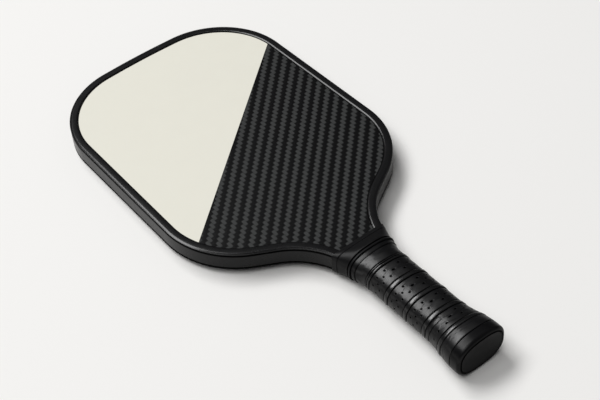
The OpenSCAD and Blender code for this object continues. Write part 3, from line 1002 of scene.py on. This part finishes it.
class PADDLE_OT_grip_wrap(bpy.types.Operator):
    """Wind the perforated strip up the handle"""

    bl_idname = "paddle.grip_wrap"
    bl_label = "Grip wrap"

    def execute(self, context):
        handle = size("paddle_handle")
        per_turn = PORE_CELLS * PORE_STEPS
        begin = WRAP_START - 1
        turns = begin + np.arange(round((WRAP_TURNS - begin) * per_turn) + 1) / per_turn
        low_end = PORE_MIDDLE - 1.5 * PORE_ROW
        high_end = PORE_MIDDLE + 1.5 * PORE_ROW
        lap, pitch = handle.lap_width, handle.wrap_pitch
        fine = np.array([0, 0.14, 0.28, 0.45, 0.7, 1.1]) * MM
        below = np.concatenate(
            [
                fine,
                TAIL_LINE + np.array([-0.7, -0.38, -0.19, 0, 0.19, 0.38]) * MM,
                lap - fine[::-1],
                lap + fine[1:],
                np.linspace(lap + 1.8 * MM, low_end, 3),
            ]
        )
        above = np.concatenate([np.linspace(high_end, pitch - 1.8 * MM, 3), pitch - fine[::-1]])
        surfaces, marks = [], []
        for rows in (below, above):
            t, v = np.meshgrid(turns, rows, indexing="ij")
            points, mark = wrap_surface(handle, t, v, 0)
            surfaces.append((points, False))
            marks.append(mark)
        for t, v, sink, dark in pore_cells(handle):
            points, mark = wrap_surface(handle, t, v, sink)
            surfaces.extend((cell, True) for cell in points)
            mark[..., 0] = np.maximum(dark, mark[..., 0])
            marks.append(mark)
        points, mark = wrap_tail(handle)
        surfaces.append((points, True))
        marks.append(mark)
        # The bore: from the lower rim down to the inner wall, up it, and out to the upper rim
        first = np.arange(per_turn) / per_turn - 1
        last = first + WRAP_TURNS
        spin = round((WRAP_TURNS % 1) * per_turn)
        rim_low, _ = wrap_surface(handle, first, 0 * first, 0)
        rim_top, _ = wrap_surface(handle, last, 0 * last + pitch, 0)
        rim_top = np.roll(rim_top, spin, axis=0)
        y = np.linspace(handle.wrap_low, wrap_rise(handle, np.array(WRAP_TURNS)), 30)[:, None]
        a, b = handle_half(handle, y)
        c, s = np.cos(WRAP_ANGLE + TAU * first), np.sin(WRAP_ANGLE + TAU * first)
        x = (a - handle.wrap_thickness) * np.sign(c) * np.abs(c) ** (2 / OVAL_POWER)
        z = (b - handle.wrap_thickness) * np.sign(s) * np.abs(s) ** (2 / OVAL_POWER)
        wall = np.stack([x, np.broadcast_to(y, x.shape), z], axis=-1)
        surfaces.append((np.concatenate([rim_low[None], wall, rim_top[None]]), True))
        marks.append(np.zeros((*surfaces[-1][0].shape[:2], 2)))
        pore, lap = np.concatenate([mark.reshape(-1, 2) for mark in marks]).T
        # Polyurethane skin embossed like leather: soft broad streaks of light, brighter on the
        # pressed laps, with painted shade black in the perforations and along the grooves
        cushion = moulded(
            "perforated_polyurethane_grip",
            size("paddle_finish").grip,
            0.7 * MM,
            0.016 * MM,
            0.33,
            1.42,
            pore="pore",
            smooth="lap",
            flank=0.3,
        )
        add_piece(
            "grip_wrap_strip",
            surfaces,
            "grip_wrap",
            cushion,
            60,
            {"pore": pore, "lap": LAP_GLOSS * lap},
        )
        return {"FINISHED"}


class PADDLE_OT_throat(bpy.types.Operator):
    """Fit the finishing tape and the collar over the throat"""

    bl_idname = "paddle.throat"
    bl_label = "Throat"

    def execute(self, context):
        handle, finish = size("paddle_handle"), size("paddle_finish")
        gap, tape = 0.08 * MM, 0.25 * MM
        low, top = handle.tape_low, handle.tape_top
        y = np.array([low, low + 0.08 * MM, *np.linspace(low + 0.3 * MM, top, 8)])
        grow = np.array([gap + 0.12 * MM, *(0 * y[1:] + gap + tape)])
        outer = handle_rings(handle, y, grow)
        inner = handle_rings(handle, y[::-1], gap)
        rings = np.concatenate([outer, inner, outer[:1]])
        # Calendered vinyl: smooth black and one soft streak, with a line of painted shade along its
        # cut edge
        vinyl = moulded(
            "vinyl_finishing_tape",
            linear("#101011"),
            0.4 * MM,
            0.006 * MM,
            0.34,
            1.32,
            pore="groove",
            flank=0.3,
        )
        groove = ring_marks([1, 1, 0.6], 0 * y[3:], 0 * y, [1])
        add_piece(
            "finishing_tape_band",
            [(rings, True)],
            "finishing_tape",
            vinyl,
            attributes={"groove": groove},
        )

        wall = handle.collar_wall
        foot, head = handle.collar_low, handle.collar_top

        def collar(y, grow):
            """Rings of the collar's inside, grown by grow: the handle's oval over the tape, which
            changes evenly to the squared section that fits the guarded neck."""
            y, grow = np.broadcast_arrays(np.asarray(y, float), grow)
            f = np.clip((y - top) / (head - top), 0, 1)
            a, b = handle_half(handle, y)
            a, b = a + tape + 2 * gap, b + tape + 2 * gap
            power = 1 / (1 / OVAL_POWER + f * (1 / 10 - 1 / OVAL_POWER))
            a = a + f * (handle.collar_top_width / 2 - a) + grow
            b = b + f * (handle.collar_top_depth / 2 - b) + grow
            return polar_oval(a, b, y, power)

        q = np.radians(np.linspace(0, 180, 13))
        bead_y = foot + 1.0 * MM * (1 - np.cos(q))
        bead = 0.3 * wall + 0.8 * MM * np.sin(q) ** 0.7
        seam = 123 * MM
        notch = np.linspace(-1, 1, 7)
        body = foot + 2.6 * MM
        shoulder_y = body + 0.5 * MM * np.array([0, 0.13, 0.5, 1])
        plain = np.concatenate([shoulder_y, np.linspace(body + 1.2 * MM, seam - 0.6 * MM, 10)])
        plain_grow = wall - 0.5 * MM * np.array([1, 0.5, 0.13, 0])
        plain_grow = np.concatenate([plain_grow, np.full(10, wall)])
        rounding = np.radians(np.linspace(0, 90, 6))
        edge = 0.4 * MM
        outer_y = np.concatenate(
            [
                bead_y,
                plain,
                seam + 0.4 * MM * notch,
                np.linspace(seam + 0.6 * MM, head - edge - 0.2 * MM, 5),
                head - edge * (1 - np.sin(rounding)),
            ]
        )
        outer_grow = np.concatenate(
            [
                bead,
                plain_grow,
                wall - 0.35 * MM * np.cos(notch * math.pi / 2) ** 2,
                np.full(5, wall),
                wall - edge * (1 - np.cos(rounding)),
            ]
        )
        inner_y = np.linspace(head, foot, 24)
        outside = collar(outer_y, outer_grow)
        rings = np.concatenate([outside, collar(inner_y, 0), outside[:1]])
        # Painted shade: dark at both ends of the bead, in the step above it and in the seam's notch
        hollow = np.clip(1.6 * np.cos(q) ** 6 - 0.4, 0, 1)
        groove = ring_marks(
            hollow,
            [1, 1, 0.6, 0],
            np.zeros(10),
            np.cos(notch * math.pi / 2) ** 2,
            np.zeros(5 + len(rounding) + len(inner_y)),
            [1],
        )
        # Moulded silicone: deep black with a dull sheen, and lines of painted shade in its grooves
        rubber = moulded(
            "silicone_rubber_collar",
            finish.collar,
            0.6 * MM,
            0.01 * MM,
            0.42,
            1.25,
            pore="groove",
            flank=0.6,
        )
        add_piece(
            "throat_collar_sleeve",
            [(rings, True)],
            "throat_collar",
            rubber,
            attributes={"groove": groove},
        )
        return {"FINISHED"}


class PADDLE_OT_butt(bpy.types.Operator):
    """Close the handle with the butt cap, its disc, its staples and the shells inside"""

    bl_idname = "paddle.butt"
    bl_label = "Butt"

    def execute(self, context):
        handle, finish = size("paddle_handle"), size("paddle_finish")
        rim, edge, disc = 0.25 * MM, 2.4 * MM, 1.5 * MM
        skirt_top, bore_floor = 28 * MM, 4.12 * MM
        bore_w, bore_d = 15.2 * MM, 10.6 * MM
        half_w, half_d = handle.disc_width / 2, handle.disc_depth / 2
        gap = 0.08 * MM
        seat = polar_oval(half_w + gap, half_d + gap, np.array([disc, rim]))
        q = np.radians(np.linspace(0, 90, 12))
        bend_y = rim + edge * (1 - np.cos(q))
        bend = handle_rings(handle, bend_y, -edge * (1 - np.sin(q)))
        lip = 0.5 * MM
        turn = np.radians(np.linspace(0, 90, 6))
        seam = handle.wrap_low
        side_y = np.linspace(3.2 * MM, seam - 0.8 * MM, 8)
        side_y = np.concatenate([side_y, seam - 0.5 * MM + 0.45 * MM * np.sin(turn)])
        side_grow = np.concatenate([np.zeros(8), -lip * (1 - np.cos(turn))])
        side = handle_rings(handle, side_y, side_grow)
        skirt = handle.wrap_thickness + gap
        skirt_y = np.linspace(seam, skirt_top, 12)
        sleeve = handle_rings(handle, skirt_y, -skirt)
        bore = polar_oval(bore_w, bore_d, np.array([skirt_top, bore_floor]))
        rings = np.concatenate([seat, bend, side, sleeve, bore])
        # Moulded ABS: black satin, with a clear streak along the flare and a bright rounded rim
        plastic = moulded(
            "moulded_abs_butt_cap",
            finish.cap,
            0.5 * MM,
            0.01 * MM,
            0.31,
            1.25,
            pore="groove",
            flank=0.4,
        )
        # Painted shade in the gap round the disc and in the seam under the wrap's foot; the skirt
        # inside the wrap is marked too
        groove = ring_marks(
            [1, 1, 1, 0.6], np.zeros(10 + 8 + 2), [0.5, 1, 1, 1], np.ones(len(skirt_y)), [0, 0]
        )
        add_piece(
            "butt_cap_cup",
            [(rings, True)],
            "butt_cap",
            plastic,
            attributes={"groove": groove},
        )

        # The disc: a flat face with a fine raised border and a rounded outer edge
        steps = np.array([1, 1, 0.985, 0.955, 0.945, 0.93, 0.5, 0.15, 0.0])
        level = np.array([1.5, 0.3, 0.0, 0.0, 0.12, 0.15, 0.12, 0.12, 0.12]) * MM
        inset = (1 - steps) * half_d
        a = np.maximum(half_w - inset, half_w * steps * (steps < 0.9))
        b = half_d - inset
        face = polar_oval(np.maximum(a, 1e-9), np.maximum(b, 1e-9), level)
        # The same ABS with a spark-eroded face, which scatters the light to an even dark grey
        grained = moulded(
            "grained_abs_butt_disc", finish.cap, 0.8 * MM, 0.03 * MM, 0.5, 1.18, pore="groove"
        )
        # Painted shade in the gap round the disc's outer edge
        groove = ring_marks([1, 1, 1, 0.2, 0, 0, 0, 0, 0])
        add_piece(
            "butt_end_disc_face",
            [(face, True)],
            "butt_end_disc",
            grained,
            attributes={"groove": groove},
        )

        # ABS as it leaves the mould: dark grey, with an even fine texture and little gloss
        shell = moulded(
            "moulded_abs_handle_shell", linear("#4A4A4C"), 0.8 * MM, 0.03 * MM, 0.5, 1.5
        )
        dress(shell, "front_handle_shell", "back_handle_shell")
        dress(drawn_wire(), "butt_cap_staples")
        return {"FINISHED"}


class PADDLE_OT_stage(bpy.types.Operator):
    """Set the pale floor, the studio light and the camera"""

    bl_idname = "paddle.stage"
    bl_label = "Stage"

    def execute(self, context):
        stage = size("paddle_stage")
        scene = context.scene
        scene.view_settings.view_transform = "Standard"

        # The paddle lies on its back on the butt and the tip, so the floor slopes a little
        butt, tip = np.array([6, -16.15]) * MM, np.array([408, -8]) * MM
        slope = (tip[1] - butt[1]) / (tip[0] - butt[0])
        reach = np.linspace(-6, 6, 3)
        x, y = np.meshgrid(reach, reach, indexing="ij")
        points = np.stack([x, y, butt[1] + (y - butt[0]) * slope], axis=-1).reshape(-1, 3)
        mesh = bpy.data.meshes.new("floor")
        mesh.from_pydata(points.tolist(), [], quads(3, 3).tolist())
        mesh.materials.append(floor_paper(stage))
        floor = bpy.data.objects.new("floor", mesh)
        scene.collection.objects.link(floor)

        # Soft boxes: name, place, width, height and power. The key stands high beyond the tip, where
        # the handle's upper left mirrors it
        middle = Vector((0, 0.2, 0))
        lamps = (
            ("key", (-1.0, 3.35, 5.0), 4.8, 2.0, 295),
            ("fill", (-1.8, -0.4, 4.0), 3.0, 3.0, 68),
        )
        for name, place, width, height, power in lamps:
            lamp = bpy.data.lights.new(name, "AREA")
            lamp.shape, lamp.size, lamp.size_y, lamp.energy = "RECTANGLE", width, height, power
            holder = bpy.data.objects.new(name, lamp)
            holder.location = place
            holder.rotation_euler = (middle - Vector(place)).to_track_quat("-Z", "Y").to_euler()
            scene.collection.objects.link(holder)
        world = bpy.data.worlds.new("studio")
        world.use_nodes = True
        tree = world.node_tree
        tree.nodes.clear()
        # Above the floor's edge the camera sees the same pale tone as the floor
        path = add_node(tree, "ShaderNodeLightPath")
        strength = add_node(
            tree,
            "ShaderNodeMapRange",
            inputs={"Value": path.outputs["Is Camera Ray"], "To Min": 0.1, "To Max": 0.86},
        )
        sky = add_node(
            tree,
            "ShaderNodeBackground",
            inputs={"Color": opaque((1, 1, 1)), "Strength": strength},
        )
        add_node(tree, "ShaderNodeOutputWorld", inputs={"Surface": sky})
        scene.world = world

        az, el, roll = stage.azimuth, stage.elevation, stage.roll
        back = Vector((math.sin(az) * math.cos(el), -math.cos(az) * math.cos(el), math.sin(el)))
        right = Vector((math.cos(az), math.sin(az), 0))
        up = back.cross(right)
        side = math.cos(roll) * right + math.sin(roll) * up
        up = math.cos(roll) * up - math.sin(roll) * right
        data = bpy.data.cameras.new("camera")
        data.lens, data.sensor_width = stage.lens, 36
        data.clip_start, data.clip_end = 0.05, 50
        camera = bpy.data.objects.new("camera", data)
        turn = Matrix((side, up, back)).transposed().to_4x4()
        target = Vector((stage.target_x, stage.target_y, 0))
        camera.matrix_world = Matrix.Translation(target + back * stage.distance) @ turn
        scene.collection.objects.link(camera)
        scene.camera = camera
        return {"FINISHED"}


class PADDLE_PT_build(bpy.types.Panel):
    """Buttons that build the paddle's pieces"""

    bl_idname = "PADDLE_PT_build"
    bl_label = "Pickleball paddle"
    bl_space_type = "VIEW_3D"
    bl_region_type = "UI"
    bl_category = "Paddle"

    def draw(self, context):
        for operator in OPERATORS:
            self.layout.operator(operator.bl_idname)
        for group in GROUPS:
            box = self.layout.box()
            box.label(text=group.replace("_", " ").capitalize())
            settings = getattr(context.scene, group)
            for name in settings.__annotations__:
                box.prop(settings, name)


OPERATORS = (
    PADDLE_OT_board,
    PADDLE_OT_edge_guard,
    PADDLE_OT_grip_wrap,
    PADDLE_OT_throat,
    PADDLE_OT_butt,
    PADDLE_OT_stage,
)
GROUPS = {
    "paddle_head": PaddleHead,
    "paddle_handle": PaddleHandle,
    "paddle_finish": PaddleFinish,
    "paddle_stage": PaddleStage,
}


def register():
    for group, settings in GROUPS.items():
        bpy.utils.register_class(settings)
        setattr(bpy.types.Scene, group, bpy.props.PointerProperty(type=settings))
    for cls in (*OPERATORS, PADDLE_PT_build):
        bpy.utils.register_class(cls)


def unregister():
    for cls in reversed((*OPERATORS, PADDLE_PT_build)):
        bpy.utils.unregister_class(cls)
    for group, settings in reversed(GROUPS.items()):
        delattr(bpy.types.Scene, group)
        bpy.utils.unregister_class(settings)


def main():
    register()
    for operator in OPERATORS:
        family, name = operator.bl_idname.split(".")
        getattr(getattr(bpy.ops, family), name)()


if __name__ == "__main__":
    main()
